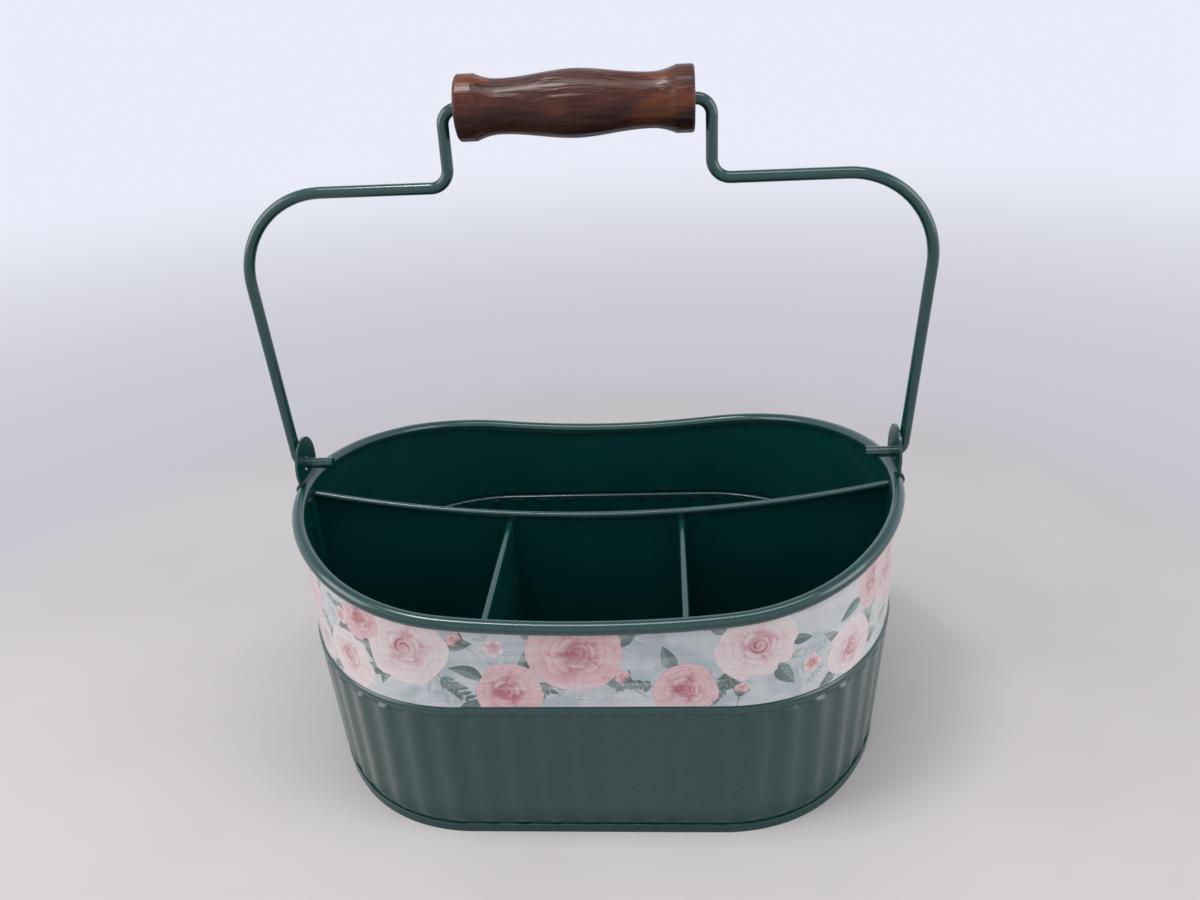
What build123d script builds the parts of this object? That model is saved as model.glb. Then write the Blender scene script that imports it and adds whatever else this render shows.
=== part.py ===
from build123d import *
import os
from math import acos, asin, cos, degrees, radians, sin, sqrt

# Oval painted-steel caddy for table cutlery: a sheet-metal tub with a scooped, rolled rim,
# sheet dividers that make one long rear cell and three front cells, and a wire bail
# handle with a turned wooden grip. Millimetres, +Z up, +X to the viewer's right, the long
# cell at +Y. The origin is the middle of the footprint, on the table.

# Sheet metal
sheet = 0.6                     # thickness of every steel sheet
panel_fit = 0.1                 # gap between a divider and the wall it is spot-welded to

# Plan shape, shared by all levels of the tub
half_straight = 49.3            # half length of the straight part of each long side
blend_angle = 41.4              # where the end arc turns into the tighter corner arc

# Upper wall and rim
wall_half_length = 123.9        # outer face of the upper wall, at the ends
wall_half_depth = 86.6          # outer face of the upper wall, at the long sides
rim_low = 97.0                  # height of the middle of the rim roll, half way along
scoop_radius = 490.0            # the rim dips between the ends along this radius
roll_radius = 2.6               # outside radius of the rolled rim
roll_out = 0.5                  # the roll's middle lies this far outside the wall face
roll_gap_from = 272.0           # start of the open slit under the roll, in degrees
roll_gap_angle = 16.0           # size of that slit, where the sheet ends
rim_stations = 10               # points that carry half of the rim's curve

# Swaged bead between the printed band and the ribbed skirt
bead_level = 60.0
bead_half_height = 1.6
bead_rise = 1.0                 # how far it stands out of the wall

# Ribbed skirt and foot
foot_half_length = wall_half_length - 3.5   # outer face where the wall enters the base seam
foot_half_depth = wall_half_depth - 0.3
rib_count = 54
rib_depth = 0.9
rib_foot_runout = 3.0           # length over which a rib fades out above the base seam
rib_head_runout = 1.2           # and below the bead, which hides it
skirt_lap = 0.7                 # plain strip between the ribs and the bead
rib_flat = 0.02                 # what is left of the ribs on the plain strips

# Base panel, with the channel seam that grips the wall's lower edge
seam_height = 3.8
floor_level = 3.0               # upper face of the floor
seam_fit = 0.05
seam_round = 0.28

# Printed film round the upper wall
film = 0.2
film_fit = 0.02                 # glue line between the film and the wall
film_margin = 0.35              # bare strip left below the rim roll and above the bead

# Dividers
hem_radius = 1.4                # rolled upper edge of each divider
hem_gap = 0.25                  # slit where the hem's free edge stops
hem_foot = 2.0                  # flat strip under the hem's middle
divider_low = 96.8              # top of the long divider, half way along
divider_scoop_radius = 590.0
end_flange = 8.0                # forward flange of the long divider at each end
end_flange_round = 5.0
end_flange_drop = 2.0           # the flange stops this far under the divider's top
cell_half_width = 37.3          # cross dividers stand this far each side of the middle
cross_top = 93.0
cross_flange = 5.0
cross_flange_drop = 2.5

# Ears that carry the bail
ear_radius = 11.5
ear_thickness = 1.0
ear_hole_radius = 3.1
ear_pivot_rise = 9.4            # hole centre above the middle of the rim roll
ear_foot = 0.8                  # thickness of the foot that laps over the roll
ear_foot_half_width = 7.5
ear_fit = 0.05
ear_foot_from = -20.0           # lapped arc of the roll, degrees from the outside
ear_foot_to = 112.0

# Bail wire
wire_radius = 2.25
wire_run_clearance = 0.35       # between the leg of the bail and the ear
hook_length = 12.0              # wire that reaches inward past the ear
hook_bend = 4.5
leg_spread = 7.3                # the legs lean out this much up to the shoulders
bail_rise = 113.8               # from the ear holes up to the straight shoulders
shoulder_bend = 33.5
step_rise = 28.3                # from the shoulders up to the grip
step_lower_bend = 7.0
step_upper_bend = 5.8

# Turned wooden grip
grip_half_length = 43.0
grip_play = 0.4                 # room between each end of the grip and the wire's bend
grip_bore_clearance = 0.3
grip_collar_radius = 11.8
grip_collar_width = 6.5
grip_neck_radius = 9.7
grip_neck_at = 27.5
grip_belly_radius = 12.0
grip_round = 1.2


def oval_radii(half_length, half_depth):
    """Radii of the corner arc and the end arc of the plan shape."""
    turn = radians(blend_angle)
    reach = cos(turn) / (1 - sin(turn))
    end = (half_length - half_straight - half_depth * reach) / (1 - cos(turn) - sin(turn) * reach)
    corner = (half_depth - end * sin(turn)) / (1 - sin(turn))
    return corner, end


def oval(half_length, half_depth, level=0.0):
    """Closed plan outline: straight sides, corner arcs and flatter end arcs."""
    corner, end = oval_radii(half_length, half_depth)
    with BuildLine(Plane.XY.offset(level), mode=Mode.PRIVATE) as outline:
        Line((0, half_depth), (half_straight, half_depth))
        CenterArc((half_straight, half_depth - corner), corner, 90, blend_angle - 90)
        CenterArc((half_length - end, 0), end, blend_angle, -blend_angle)
        mirror(about=Plane.XZ)
        mirror(about=Plane.YZ)
    return outline.wire()


def skirt_size(level):
    """Outer half length and half depth of the plain wall at a height below the bead."""
    share = (level - seam_height) / (bead_level - bead_half_height - seam_height)
    share = min(max(share, 0.0), 1.0)
    half_length = foot_half_length + (wall_half_length - foot_half_length) * share
    half_depth = foot_half_depth + (wall_half_depth - foot_half_depth) * share
    return half_length, half_depth


def outward(outline, share):
    """Point on a plan outline and its outward direction there."""
    point = outline.position_at(share)
    along = outline.tangent_at(share)
    across = Vector(along.Y, -along.X, 0)
    if across.dot(Vector(point.X, point.Y, 0)) < 0:
        across = across * -1
    return point, across


def ribbed(outline, depth, inset):
    """Edges of the plan outline with its ribs, each a crest arc and a valley arc."""
    steps = 4 * rib_count
    rise = (0.5, 1.0, 0.5, 0.0)
    points = []
    for step in range(steps):
        point, across = outward(outline, step / steps)
        points.append(point + across * (depth * rise[step % 4] - inset))
    for step in range(0, steps, 2):
        ThreePointArc(points[step], points[step + 1], points[(step + 2) % steps])


def rim_height(x):
    """Height of the middle of the rim roll."""
    return rim_low + scoop_radius - sqrt(scoop_radius**2 - x**2)


def rim_station(outline, share):
    """Point and direction of the rim's curve."""
    point = outline.position_at(share)
    along = outline.tangent_at(share)
    slope = point.X / sqrt(scoop_radius**2 - point.X**2)
    return (
        Vector(point.X, point.Y, rim_height(point.X)),
        Vector(along.X, along.Y, along.X * slope).normalized(),
    )


def meeting(start, start_along, finish, finish_along):
    """Where two tangent arcs meet between two stations, and their direction there."""
    chord = finish - start
    spread = start_along + finish_along
    ahead = chord.dot(spread)
    square = chord.dot(chord)
    reach = square / (ahead + sqrt(ahead**2 + (4 - spread.dot(spread)) * square))
    first = start + start_along * reach
    second = finish - finish_along * reach
    return (first + second) * 0.5, (second - first).normalized()


def rolled_edge(radius, gap_from, gap_size):
    """Sketch outline of a sheet curled into a roll, with the slit where it ends."""
    turn = 360 - gap_size
    start = gap_from + gap_size
    outer = CenterArc((0, 0), radius, start, turn)
    inner = CenterArc((0, 0), radius - sheet, start, turn)
    Line(outer @ 0, inner @ 0)
    Line(outer @ 1, inner @ 1)


def hemmed(foot):
    """Section of a divider's upper edge: a flat sheet that ends in a small open roll."""
    back = -sheet / 2
    front = sheet / 2
    middle = hem_radius - sheet / 2
    stop = -degrees(acos((front + hem_gap - middle) / hem_radius))
    rise = CenterArc((middle, 0), hem_radius, 180, stop - 180)
    fall = CenterArc((middle, 0), hem_radius - sheet, 180, stop - 180)
    Line(rise @ 1, fall @ 1)
    Polyline(rise @ 0, (back, -foot), (front, -foot), fall @ 0)


# Spaces inside the tub, used to trim the dividers to the wall
def inner_space(gap):
    """Inside of the plain wall, drawn in by a gap, from the floor up past the rim."""
    bead_foot = bead_level - bead_half_height
    top = rim_height(wall_half_length) + 20
    with BuildPart(mode=Mode.PRIVATE) as space:
        for level in (floor_level, seam_height, bead_foot, top):
            half_length, half_depth = skirt_size(level)
            outline = oval(half_length - sheet - gap, half_depth - sheet - gap, level)
            with BuildSketch(Plane.XY.offset(level)):
                add(make_face(outline.edges(), mode=Mode.PRIVATE))
        loft(ruled=True)
    return space.part


divider_space = inner_space(panel_fit)
flange_space = inner_space(panel_fit + sheet)

roll_half_length = wall_half_length + roll_out
roll_half_depth = wall_half_depth + roll_out
roll_outline = oval(roll_half_length, roll_half_depth)
wall_outline = oval(wall_half_length, wall_half_depth)
scoop_centre = rim_low + scoop_radius
span = 2 * (roll_half_depth + roll_radius) + 20

# Tub wall: one sheet with a rolled rim, a swaged bead and a ribbed skirt
bead_foot = bead_level - bead_half_height
bead_head = bead_level + bead_half_height
wall_top = rim_height(wall_half_length) + roll_radius
skirt_levels = (
    (sheet + seam_fit, rib_flat, 0),
    (seam_height, rib_flat, 0),
    (seam_height + rib_foot_runout, rib_depth, 0),
    (bead_foot - skirt_lap - rib_head_runout, rib_depth, 0),
    (bead_foot - skirt_lap, rib_flat, sheet / 5),
    (bead_foot, rib_flat, sheet / 5),
)

# The inside of the ribbed skirt, then its outside less that inside
with BuildPart() as skirt_core:
    for level, depth, thinned in skirt_levels:
        half_length, half_depth = skirt_size(level)
        with BuildSketch(Plane.XY.offset(level)):
            with BuildLine():
                ribbed(oval(half_length, half_depth), depth, sheet - thinned)
            make_face()
    loft(ruled=True)

with BuildPart() as skirt:
    for level, depth, thinned in skirt_levels:
        half_length, half_depth = skirt_size(level)
        with BuildSketch(Plane.XY.offset(level)):
            with BuildLine():
                ribbed(oval(half_length, half_depth), depth, thinned)
            make_face()
    loft(ruled=True)
    add(skirt_core.part, mode=Mode.SUBTRACT)

# Upper wall with the bead, then the scoop that trims it under the roll
with BuildPart() as upper_wall:
    start = Plane(wall_outline @ 0, x_dir=(0, 1, 0), z_dir=wall_outline % 0)
    with BuildSketch(start) as wall_section:
        with BuildLine():
            groove = bead_half_height - sheet / 2
            Line((0, wall_top), (0, bead_head))
            ThreePointArc((0, bead_head), (bead_rise, bead_level), (0, bead_foot))
            Polyline(
                (0, bead_foot),
                (0, bead_foot - skirt_lap),
                (-sheet, bead_foot - skirt_lap),
                (-sheet, bead_level - groove),
            )
            ThreePointArc(
                (-sheet, bead_level - groove),
                (bead_rise - sheet, bead_level),
                (-sheet, bead_level + groove),
            )
            Polyline((-sheet, bead_level + groove), (-sheet, wall_top), (0, wall_top))
        make_face()
    sweep(path=wall_outline)
    with Locations((0, 0, scoop_centre)):
        Cylinder(
            scoop_radius + roll_radius - sheet * 0.7,
            span,
            rotation=(90, 0, 0),
            mode=Mode.SUBTRACT,
        )

# Rolled rim: half of its curve as tangent arcs through the stations
with BuildPart() as rim_half:
    with BuildLine() as rim_path:
        stations = []
        for index in range(rim_stations + 1):
            stations.append(rim_station(roll_outline, index / rim_stations / 2))
        for here, there in zip(stations, stations[1:]):
            middle, middle_along = meeting(here[0], here[1], there[0], there[1])
            TangentArc(here[0], middle, tangent=here[1])
            TangentArc(middle, there[0], tangent=middle_along)
    with BuildSketch(Plane(stations[0][0], x_dir=(0, 1, 0), z_dir=stations[0][1])):
        with BuildLine():
            rolled_edge(roll_radius, roll_gap_from, roll_gap_angle)
        make_face()
    sweep(path=rim_path.wire())

# The wall is joined to its roll in one half, then mirrored, and stands on the skirt
with BuildPart() as tub_wall:
    add(upper_wall.part)
    split(bisect_by=Plane.YZ)
    add(rim_half.part)
    mirror(about=Plane.YZ)
    add(skirt.part)
tub_wall.part.label = "tub_wall"

# Base panel: a floor whose edge forms a channel round the wall's lower edge
foot_outline = oval(foot_half_length, foot_half_depth)
with BuildPart() as base_panel:
    with BuildSketch(Plane(foot_outline @ 0, x_dir=(0, 1, 0), z_dir=foot_outline % 0)):
        with BuildLine():
            lip = seam_fit + sheet
            inner_face = -sheet - seam_fit
            Polyline(
                (lip, 0),
                (lip, seam_height),
                (seam_fit, seam_height),
                (seam_fit, sheet),
                (inner_face, sheet),
                (inner_face, floor_level),
                (inner_face - sheet * 2, floor_level),
                (inner_face - sheet * 2, floor_level - sheet),
                (inner_face - sheet, floor_level - sheet),
                (inner_face - sheet, 0),
                (lip, 0),
            )
        seam_section = make_face()
        fillet(seam_section.vertices().group_by(Axis.Y)[-1], seam_round)
    sweep(path=foot_outline)
    with BuildSketch(Plane.XY.offset(floor_level)):
        edge = sheet * 2 + seam_fit
        make_face(oval(foot_half_length - edge, foot_half_depth - edge, floor_level).edges())
    extrude(amount=-sheet)
base_panel.part.label = "base_panel"

# Printed film, wrapped round the wall between the bead and the rim roll
film_foot = bead_head + film_margin
with BuildPart() as printed_band:
    with BuildSketch(Plane.XY.offset(film_foot)):
        face_out = film_fit + film
        make_face(oval(wall_half_length + face_out, wall_half_depth + face_out, film_foot).edges())
        make_face(
            oval(wall_half_length + film_fit, wall_half_depth + film_fit, film_foot).edges(),
            mode=Mode.SUBTRACT,
        )
    extrude(amount=wall_top - film_foot)
    with Locations((0, 0, scoop_centre)):
        Cylinder(
            scoop_radius + roll_radius + film_margin,
            span,
            rotation=(90, 0, 0),
            mode=Mode.SUBTRACT,
        )
printed_band.part.label = "printed_band"

# Long divider: a scooped sheet between the two ends, its upper edge rolled. The sheet and
# its roll are drawn wider than the tub, then trimmed to the inside of the wall.
divider_roll_low = divider_low - hem_radius
divider_centre = divider_roll_low + divider_scoop_radius
divider_reach = wall_half_length + 5
divider_turn = degrees(asin(divider_reach / divider_scoop_radius))
divider_end = divider_centre - sqrt(divider_scoop_radius**2 - wall_half_length**2)

# The ends of the sheet turn forward along the wall, with a rounded upper corner
with BuildPart() as end_flanges:
    with BuildSketch(Plane.YZ) as flange_side:
        flange_top = divider_end + hem_radius - end_flange_drop
        with Locations(((sheet / 2 - end_flange) / 2, (floor_level + flange_top) / 2)):
            Rectangle(end_flange + sheet / 2, flange_top - floor_level)
        upper_corners = flange_side.vertices().group_by(Axis.Z)[-1]
        fillet(upper_corners.sort_by(Axis.Y)[0], end_flange_round)
    extrude(amount=divider_reach, both=True)
    add(divider_space, mode=Mode.INTERSECT)
    add(flange_space, mode=Mode.SUBTRACT)

with BuildPart() as main_divider:
    with BuildSketch(Plane.XZ):
        with Locations((0, (floor_level + divider_end) / 2)):
            Rectangle(2 * divider_reach, divider_end - floor_level)
        with Locations((0, divider_centre)):
            Circle(divider_scoop_radius + hem_foot / 2, mode=Mode.SUBTRACT)
    extrude(amount=sheet / 2, both=True)
    with BuildLine(Plane.XZ) as hem_path:
        CenterArc((0, divider_centre), divider_scoop_radius, divider_turn - 90, -2 * divider_turn)
    with BuildSketch(Plane(hem_path.line @ 0, x_dir=(0, -1, 0), z_dir=hem_path.line % 0)):
        with BuildLine():
            hemmed(hem_foot)
        make_face()
    sweep(path=hem_path.wire())
    add(divider_space, mode=Mode.INTERSECT)
    add(end_flanges.part)
main_divider.part.label = "main_divider"


# Cross dividers: straight sheets from the long divider to the front wall, each with a
# flange at both ends, turned to the left, and a rolled upper edge
cross_back = -sheet / 2 - panel_fit
cross_front = -wall_half_depth - 5
cross_roll = cross_top - hem_radius
cross_length = cross_back - cross_front


def cross_divider(place, name):
    """Cross divider that stands at a given distance from the middle."""
    with BuildPart() as front_flange:
        height = cross_top - cross_flange_drop - floor_level
        with BuildSketch(Plane.XY.offset(floor_level)):
            with Locations((place + (sheet / 2 - cross_flange) / 2, cross_front / 2 + cross_back)):
                Rectangle(cross_flange + sheet / 2, -cross_front)
        extrude(amount=height)
        add(divider_space, mode=Mode.INTERSECT)
        add(flange_space, mode=Mode.SUBTRACT)
    with BuildPart() as divider:
        with BuildSketch(Plane.XY.offset(floor_level)):
            with Locations((place, cross_back - cross_length / 2)):
                Rectangle(sheet, cross_length)
        extrude(amount=cross_roll - hem_foot / 2 - floor_level)
        with BuildSketch(Plane(origin=(place, cross_back, cross_roll), x_dir=(-1, 0, 0), z_dir=(0, 1, 0))):
            with BuildLine():
                hemmed(hem_foot)
            make_face()
        extrude(amount=-cross_length)
        add(divider_space, mode=Mode.INTERSECT)
        with BuildSketch(Plane.XY.offset(floor_level)):
            with Locations((place + (sheet / 2 - cross_flange) / 2, cross_back - sheet / 2)):
                Rectangle(cross_flange + sheet / 2, sheet)
        extrude(amount=height)
        add(front_flange.part)
    divider.part.label = name
    return divider


cross_divider_left = cross_divider(-cell_half_width, "cross_divider_left")
cross_divider_right = cross_divider(cell_half_width, "cross_divider_right")

# Ears: a pierced disc that stands on the rim roll, and a foot lapped over the roll
rim_end = rim_height(roll_half_length)
pivot_level = rim_end + ear_pivot_rise
end_radius = oval_radii(roll_half_length, roll_half_depth)[1]
end_centre = roll_half_length - end_radius
foot_turn = degrees(asin(ear_foot_half_width / end_radius))

with BuildPart() as ear_right:
    with BuildSketch(Plane.YZ.offset(roll_half_length)):
        with Locations((0, pivot_level)):
            Circle(ear_radius)
            Circle(ear_hole_radius, mode=Mode.SUBTRACT)
        with Locations((0, rim_end + roll_radius + ear_fit - ear_radius)):
            Rectangle(2 * ear_radius, 2 * ear_radius, mode=Mode.SUBTRACT)
    extrude(amount=ear_thickness / 2, both=True)
    foot_plane = Plane(
        origin=(end_centre, 0, rim_end),
        x_dir=Vector(1, 0, 0).rotate(Axis.Z, -foot_turn),
        z_dir=Vector(0, -1, 0).rotate(Axis.Z, -foot_turn),
    )
    with BuildSketch(foot_plane):
        with BuildLine():
            lap = ear_foot_to - ear_foot_from
            inner_lap = CenterArc((end_radius, 0), roll_radius + ear_fit, ear_foot_from, lap)
            lap_radius = roll_radius + ear_fit + ear_foot
            outer_lap = CenterArc((end_radius, 0), lap_radius, ear_foot_from, lap)
            Line(inner_lap @ 0, outer_lap @ 0)
            Line(inner_lap @ 1, outer_lap @ 1)
        make_face()
    revolve(axis=Axis((end_centre, 0, 0), (0, 0, 1)), revolution_arc=2 * foot_turn)
ear_right.part.label = "ear_right"

with BuildPart() as ear_left:
    mirror(ear_right.part, about=Plane.YZ)
ear_left.part.label = "ear_left"

# Bail: one bent wire, hooked inward through both ears and stepped up to the grip
leg_foot = roll_half_length + ear_thickness / 2 + wire_run_clearance + wire_radius
shoulder_level = pivot_level + bail_rise
grip_level = shoulder_level + step_rise
step_at = grip_half_length + grip_play + step_upper_bend

with BuildPart() as bail_wire:
    with BuildLine(Plane.XZ) as bail_path:
        FilletPolyline(
            (roll_half_length - hook_length, pivot_level),
            (leg_foot, pivot_level),
            (leg_foot + leg_spread, shoulder_level),
            (step_at, shoulder_level),
            (step_at, grip_level),
            (0, grip_level),
            radius=(hook_bend, shoulder_bend, step_lower_bend, step_upper_bend),
        )
        mirror(about=Plane.YZ)
    route = bail_path.wire()
    with BuildSketch(Plane(route @ 0, z_dir=route % 0)):
        Circle(wire_radius)
    sweep(path=route)
bail_wire.part.label = "bail_wire"

# Grip: turned wood with a collar at each end, two necks and a belly, bored for the wire
with BuildPart() as grip:
    with BuildSketch(Plane(origin=(0, 0, grip_level), x_dir=(1, 0, 0), z_dir=(0, -1, 0))) as turning:
        bore = wire_radius + grip_bore_clearance
        collar_at = grip_half_length - grip_collar_width
        with BuildLine():
            Spline(
                (-collar_at, grip_collar_radius),
                (-grip_neck_at, grip_neck_radius),
                (0, grip_belly_radius),
                (grip_neck_at, grip_neck_radius),
                (collar_at, grip_collar_radius),
                tangents=((1, -0.45), (1, 0), (1, 0), (1, 0), (1, 0.45)),
            )
            Polyline(
                (collar_at, grip_collar_radius),
                (grip_half_length, grip_collar_radius),
                (grip_half_length, bore),
                (-grip_half_length, bore),
                (-grip_half_length, grip_collar_radius),
                (-collar_at, grip_collar_radius),
            )
        make_face()
        rims = turning.vertices().filter_by(lambda v: abs(v.X) > grip_half_length - 0.01)
        fillet(rims.group_by(Axis.Z)[-1], grip_round)
    revolve(axis=Axis((0, 0, grip_level), (1, 0, 0)))
grip.part.label = "grip"

pieces = (
    tub_wall,
    base_panel,
    printed_band,
    main_divider,
    cross_divider_left,
    cross_divider_right,
    ear_left,
    ear_right,
    bail_wire,
    grip,
)
for piece in pieces:
    print(piece.part.label, round(piece.part.volume), piece.part.is_valid, len(piece.part.solids()))
    export_step(piece.part, "parts/" + piece.part.label + ".step")
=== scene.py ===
import math
from bisect import bisect_right
from random import Random

import bpy
from mathutils import Matrix, Vector
from mathutils.bvhtree import BVHTree
from mathutils.geometry import delaunay_2d_cdt


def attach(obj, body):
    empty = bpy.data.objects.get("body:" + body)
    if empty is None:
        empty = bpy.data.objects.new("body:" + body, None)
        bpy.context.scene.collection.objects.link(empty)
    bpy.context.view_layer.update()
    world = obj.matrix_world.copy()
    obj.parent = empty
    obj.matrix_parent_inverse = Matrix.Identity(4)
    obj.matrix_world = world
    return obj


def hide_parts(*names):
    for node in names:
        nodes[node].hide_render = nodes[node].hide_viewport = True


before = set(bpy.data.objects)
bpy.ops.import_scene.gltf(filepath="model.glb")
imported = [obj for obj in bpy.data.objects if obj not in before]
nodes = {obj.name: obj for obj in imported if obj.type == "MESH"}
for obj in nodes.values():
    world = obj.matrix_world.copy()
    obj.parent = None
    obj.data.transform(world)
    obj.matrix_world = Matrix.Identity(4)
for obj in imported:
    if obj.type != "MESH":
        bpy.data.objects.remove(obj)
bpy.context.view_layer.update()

# Camera, at the photograph's viewing angle
FRAME_WIDTH, FOCAL_LENGTH = 1200, 1010.77  # both in pixels of the photograph
SENSOR_WIDTH = 36
CAMERA_PLACE = (0.030716, -0.383105, 0.306055)
tilt, turn, lean = math.radians(25.139), math.radians(-4.22), math.radians(-2.979)
forward = Vector(
    (math.sin(turn) * math.cos(tilt), math.cos(turn) * math.cos(tilt), -math.sin(tilt))
)
level = Vector((math.cos(turn), -math.sin(turn), 0))
rise = level.cross(forward)
side = level * math.cos(lean) + rise * math.sin(lean)
top = rise * math.cos(lean) - level * math.sin(lean)
camera_data = bpy.data.cameras.new("camera")
camera_data.sensor_width = SENSOR_WIDTH
camera_data.lens = SENSOR_WIDTH * FOCAL_LENGTH / FRAME_WIDTH
camera_data.clip_start = 0.01
camera = bpy.data.objects.new("camera", camera_data)
camera.matrix_world = Matrix.Translation(CAMERA_PLACE) @ (
    Matrix((side, top, -forward)).transposed().to_4x4()
)
bpy.context.scene.collection.objects.link(camera)
bpy.context.scene.camera = camera
bpy.context.scene.view_settings.view_transform = "Standard"


class Nodes:
    """Short ways to add and join the nodes of one tree."""

    COLOUR_A, COLOUR_B, COLOUR_OUT = 6, 7, 2  # sockets of a Mix node set to colours

    def __init__(self, tree):
        self.tree = tree

    def add(self, kind, settings=None, **inputs):
        node = self.tree.nodes.new("ShaderNode" + kind)
        for key, value in (settings or {}).items():
            setattr(node, key, value)
        for key, value in inputs.items():
            self.put(node.inputs[key.replace("_", " ")], value)
        return node

    def put(self, socket, value):
        if isinstance(value, bpy.types.NodeSocket):
            self.tree.links.new(value, socket)
        else:
            socket.default_value = value

    def fill(self, node, *values):
        """Put the values into the node's first sockets, in order."""
        for socket, value in zip(node.inputs, values):
            self.put(socket, value)
        return node.outputs[0]

    def math(self, operation, first, second=0.0, third=0.0):
        return self.fill(self.add("Math", {"operation": operation}), first, second, third)

    def range(self, value, source, target=(0.0, 1.0), kind="SMOOTHSTEP"):
        """The value, carried over from the ends of one range to those of another."""
        node = self.add("MapRange", {"interpolation_type": kind})
        return self.fill(node, value, *source, *target)

    def blend(self, share, first, second):
        """Two shaders mixed."""
        return self.fill(self.add("MixShader"), share, first, second)

    def mix(self, share, first, second, blend="MIX"):
        """Two colours mixed."""
        node = self.add("Mix", {"data_type": "RGBA", "blend_type": blend}, Factor=share)
        self.put(node.inputs[self.COLOUR_A], first)
        self.put(node.inputs[self.COLOUR_B], second)
        return node.outputs[self.COLOUR_OUT]

    def shade(self, colour, factor):
        """A colour times a number."""
        grey = self.add("CombineColor", Red=factor, Green=factor, Blue=factor).outputs[0]
        return self.mix(1.0, colour, grey, "MULTIPLY")

    def ramp(self, value, stops):
        node = self.add("ValToRGB", Fac=value)
        ends = node.color_ramp.elements
        while len(ends) < len(stops):
            ends.new(0.5)
        for end, (at, colour) in zip(ends, stops):
            end.position = at
            end.color = colour
        return node.outputs[0]

    def noise(self, place, scale, detail=2.0, roughness=0.5, distortion=0.0):
        sockets = {"Scale": scale, "Detail": detail, "Roughness": roughness}
        node = self.add("TexNoise", Vector=place, Distortion=distortion, **sockets)
        return node.outputs["Fac"]

    def stretch(self, place, scale, turned=(0, 0, 0)):
        return self.add("Mapping", Vector=place, Scale=scale, Rotation=turned).outputs[0]

    def bump(self, height, distance, strength, over=None):
        """Normals bent by a height in metres, on top of an earlier bump where one is given."""
        node = self.add("Bump", Height=height, Distance=distance, Strength=strength)
        if over is not None:
            self.put(node.inputs["Normal"], over)
        return node.outputs[0]


class Surface(Nodes):
    """A new material, its Principled shader and the nodes before it."""

    def __init__(self, name):
        self.material = bpy.data.materials.new(name)
        self.material.use_nodes = True
        super().__init__(self.material.node_tree)
        self.shader = self.tree.nodes["Principled BSDF"]

    def set(self, **inputs):
        for key, value in inputs.items():
            self.put(self.shader.inputs[key.replace("_", " ")], value)

    def object_place(self):
        return self.add("TexCoord").outputs["Object"]

    def object_height(self, place):
        return self.add("SeparateXYZ", Vector=place).outputs["Z"]


def srgb(text):
    """Linear colour of a six-digit hex code."""
    parts = [int(text[i : i + 2], 16) / 255 for i in (0, 2, 4)]
    linear = [p / 12.92 if p <= 0.04045 else ((p + 0.055) / 1.055) ** 2.4 for p in parts]
    return (*linear, 1.0)


# Colours of the surfaces and of the surroundings, linear
ENAMEL_DARK = (0.0003, 0.036, 0.0365, 1)
ENAMEL_LIGHT = (0.0010, 0.048, 0.0430, 1)
DUST = (0.42, 0.46, 0.45, 1)
WOOD_STAIN = (
    (0.28, (0.015, 0.0018, 0.0010, 1)),
    (0.46, (0.041, 0.0070, 0.0026, 1)),
    (0.60, (0.066, 0.0135, 0.0046, 1)),
    (0.78, (0.094, 0.0215, 0.0070, 1)),
)
WOOD_AMBER = (0.150, 0.038, 0.009, 1)
# pale tone of the painted sheen streaks on the printed film
FILM_PAINTED_SHEEN = (0.74, 0.75, 0.79, 1)
FLOOR_TONE = (0.553, 0.527, 0.523, 1)
BACKDROP_NEAR = (0.57, 0.57, 0.64, 1)
BACKDROP = (0.82, 0.84, 0.94, 1)
LIGHT_AROUND = (1.0, 0.975, 0.90, 1)
LIGHT_ABOVE = (0.86, 0.91, 1.06, 1)


def green_enamel():
    """Dark green stoving enamel: a faint orange peel, soft mottling and a few specks of dust."""
    n = Surface("green_enamel")
    place = n.object_place()
    paint = n.mix(n.noise(place, scale=34.0, detail=3.0), ENAMEL_DARK, ENAMEL_LIGHT)
    cells = n.add("TexVoronoi", Vector=place, Scale=46.0)
    draw = n.add("SeparateColor", Color=cells.outputs["Color"]).outputs[0]
    rare = n.math("GREATER_THAN", draw, 0.86)
    speck = n.math("MULTIPLY", n.range(cells.outputs["Distance"], (0.012, 0.02), (1.0, 0.0)), rare)
    paint = n.mix(speck, paint, DUST)
    smear = n.noise(n.stretch(place, (1, 1, 2.2)), scale=21.0, detail=4.0, roughness=0.6)
    peel = n.bump(n.noise(place, scale=280.0, detail=1.0), distance=0.00003, strength=0.15)
    dent = n.noise(place, scale=26.0, detail=1.0)
    n.set(
        Base_Color=paint,
        Roughness=n.range(smear, (0.3, 0.75), (0.24, 0.33)),
        Normal=n.bump(dent, distance=0.0005, strength=0.3, over=peel),
        IOR=1.5,
        # the clear coat is weaker just above the foot, where the floor would shine in it
        Coat_Weight=n.range(n.object_height(place), (0.004, 0.016), (0.05, 0.55)),
        Coat_Roughness=0.1,
    )
    return n.material


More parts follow.
